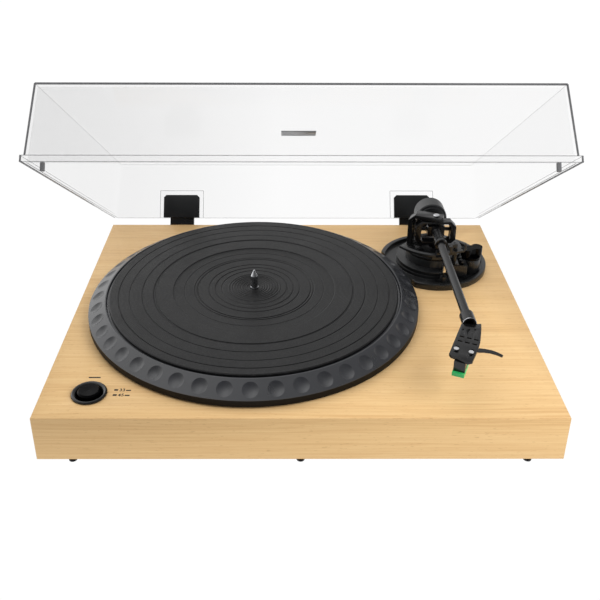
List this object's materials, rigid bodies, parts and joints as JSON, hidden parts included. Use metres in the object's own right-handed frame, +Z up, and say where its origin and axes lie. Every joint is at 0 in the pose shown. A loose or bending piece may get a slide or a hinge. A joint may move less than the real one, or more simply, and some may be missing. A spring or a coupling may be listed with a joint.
{
  "type": "turntable record player",
  "caption": "Belt-driven turntable: wooden plinth on round feet, dimpled charcoal platter with grooved rubber mat, black straight tonearm and hinged clear dust cover.",
  "frame": {"origin": "on the surface the turntable stands on, under the centre of the plinth", "axes": "+X to the tonearm's side, +Y to the back where the cover is hinged, +Z up along the platter's spindle"},
  "size_m": [0.451, 0.4036, 0.3153],
  "materials": {
    "beech_veneer": "clear satin lacquer over straight-grained veneer",
    "base_board": "black-faced fibreboard",
    "steel": "zinc-plated",
    "chrome": "polished",
    "bronze": "turned",
    "black_rubber": "matt moulded",
    "mat_rubber": "matt, finely ribbed",
    "black_plastic": "satin moulded",
    "gloss_black": "gloss moulded",
    "platter_charcoal": "satin charcoal paint on die casting",
    "arm_black": "satin black anodised",
    "cylinder_black": "satin black",
    "bracket_black": "satin black",
    "weight_grey": "satin dark grey",
    "stylus_green": "gloss moulded",
    "board_green": "solder-resist green",
    "clear_acrylic": "clear polished",
    "badge_silver": "satin"
  },
  "bodies": {
    "plinth": {"top_board": "beech_veneer", "front_board": "beech_veneer", "back_board": "beech_veneer", "left_board": "beech_veneer", "right_board": "beech_veneer", "bottom_cover": "base_board", "base_screws": "steel", "foot_front_left": "black_plastic", "foot_front_right": "black_plastic", "foot_back_left": "black_plastic", "foot_back_right": "black_plastic", "foot_pads": "black_rubber", "bearing_housing": "steel", "bearing_bush": "bronze", "thrust_ball": "steel", "drive_belt": "black_rubber", "motor": "steel", "motor_grommets": "black_rubber", "machine_screws": "steel", "circuit_board": "board_green", "button_bezel": "gloss_black", "jack_plate": "black_plastic", "phono_sockets": "chrome", "ground_post": "chrome", "power_socket": "black_plastic", "arm_base": "black_plastic", "arm_pedestal": "black_plastic", "yoke": "arm_black", "pivot_screw": "chrome", "arm_rest": "black_plastic", "cue_cylinder": "cylinder_black", "hinge_bracket_left": "bracket_black", "hinge_bracket_right": "bracket_black", "hinge_pins": "steel", "hinge_springs": "steel"},
    "platter": {"platter": "platter_charcoal", "slip_mat": "mat_rubber", "spindle": "chrome"},
    "pulley": {"motor_pulley": "bronze"},
    "gimbal": {"gimbal_ring": "arm_black"},
    "tonearm": {"arm_housing": "arm_black", "arm_tube": "arm_black", "head_collar": "arm_black", "headshell": "arm_black", "finger_lift": "arm_black", "cartridge": "black_plastic", "stylus": "stylus_green", "cartridge_screws": "steel"},
    "weight": {"counterweight": "weight_grey", "force_dial": "black_plastic"},
    "cue_lift": {"cue_platform": "black_plastic"},
    "cue_lever": {"cue_lever": "black_plastic"},
    "anti_skate": {"anti_skate_knob": "gloss_black"},
    "button": {"speed_button": "gloss_black"},
    "clip": {"arm_clip": "black_plastic"},
    "lid": {"dust_cover": "clear_acrylic", "lid_badge": "badge_silver", "lid_bumpers": "black_rubber", "hinge_clamp_left": "black_plastic", "hinge_clamp_right": "black_plastic"}
  },
  "joints": [
    {"name": "platter_spin", "type": "hinge", "parent": "plinth", "child": "platter", "pos_m": [-0.045, 0, 0.062], "axis": [0, 0, 1], "continuous": true},
    {"name": "pulley_spin", "type": "hinge", "parent": "plinth", "child": "pulley", "pos_m": [-0.133, -0.088, 0.062], "axis": [0, 0, 1], "continuous": true},
    {"name": "arm_swing", "type": "hinge", "parent": "plinth", "child": "gimbal", "pos_m": [0.1505, 0.082, 0.106], "axis": [0, 0, -1], "range_deg": [0, 50]},
    {"name": "arm_lift", "type": "hinge", "parent": "gimbal", "child": "tonearm", "pos_m": [0.1505, 0.082, 0.106], "axis": [-1, 0, 0], "range_deg": [-1.2, 7]},
    {"name": "weight_turn", "type": "hinge", "parent": "tonearm", "child": "weight", "pos_m": [0.1505, 0.1175, 0.106], "axis": [0, 1, 0], "continuous": true},
    {"name": "cue_lever", "type": "hinge", "parent": "plinth", "child": "cue_lever", "pos_m": [0.1745, 0.052, 0.08], "axis": [1, 0, 0], "range_deg": [-50, 0]},
    {"name": "cue_lift", "type": "slide", "parent": "plinth", "child": "cue_lift", "axis": [0, 0, 1], "range_m": [-0.005, 0]},
    {"name": "anti_skate", "type": "hinge", "parent": "plinth", "child": "anti_skate", "pos_m": [0.188, 0.062, 0.0824], "axis": [0, 0, 1], "range_deg": [0, 270]},
    {"name": "speed_button", "type": "slide", "parent": "plinth", "child": "button", "axis": [0, 0, -1], "range_m": [0, 0.002], "stiffness_N_per_m": 400},
    {"name": "arm_clip", "type": "hinge", "parent": "plinth", "child": "clip", "pos_m": [0.16, 0.0405, 0.106], "axis": [0, 1, 0], "range_deg": [-170, 0]},
    {"name": "dust_cover", "type": "hinge", "parent": "plinth", "child": "lid", "pos_m": [0, 0.1883, 0.0464], "axis": [-1, 0, 0], "range_deg": [-33.6, 26.4]}
  ],
  "couplings": [
    {"joint": "pulley_spin", "follows": "platter_spin", "ratio": 14},
    {"joint": "cue_lever", "follows": "cue_lift", "rad_per_m": 174.5}
  ]
}
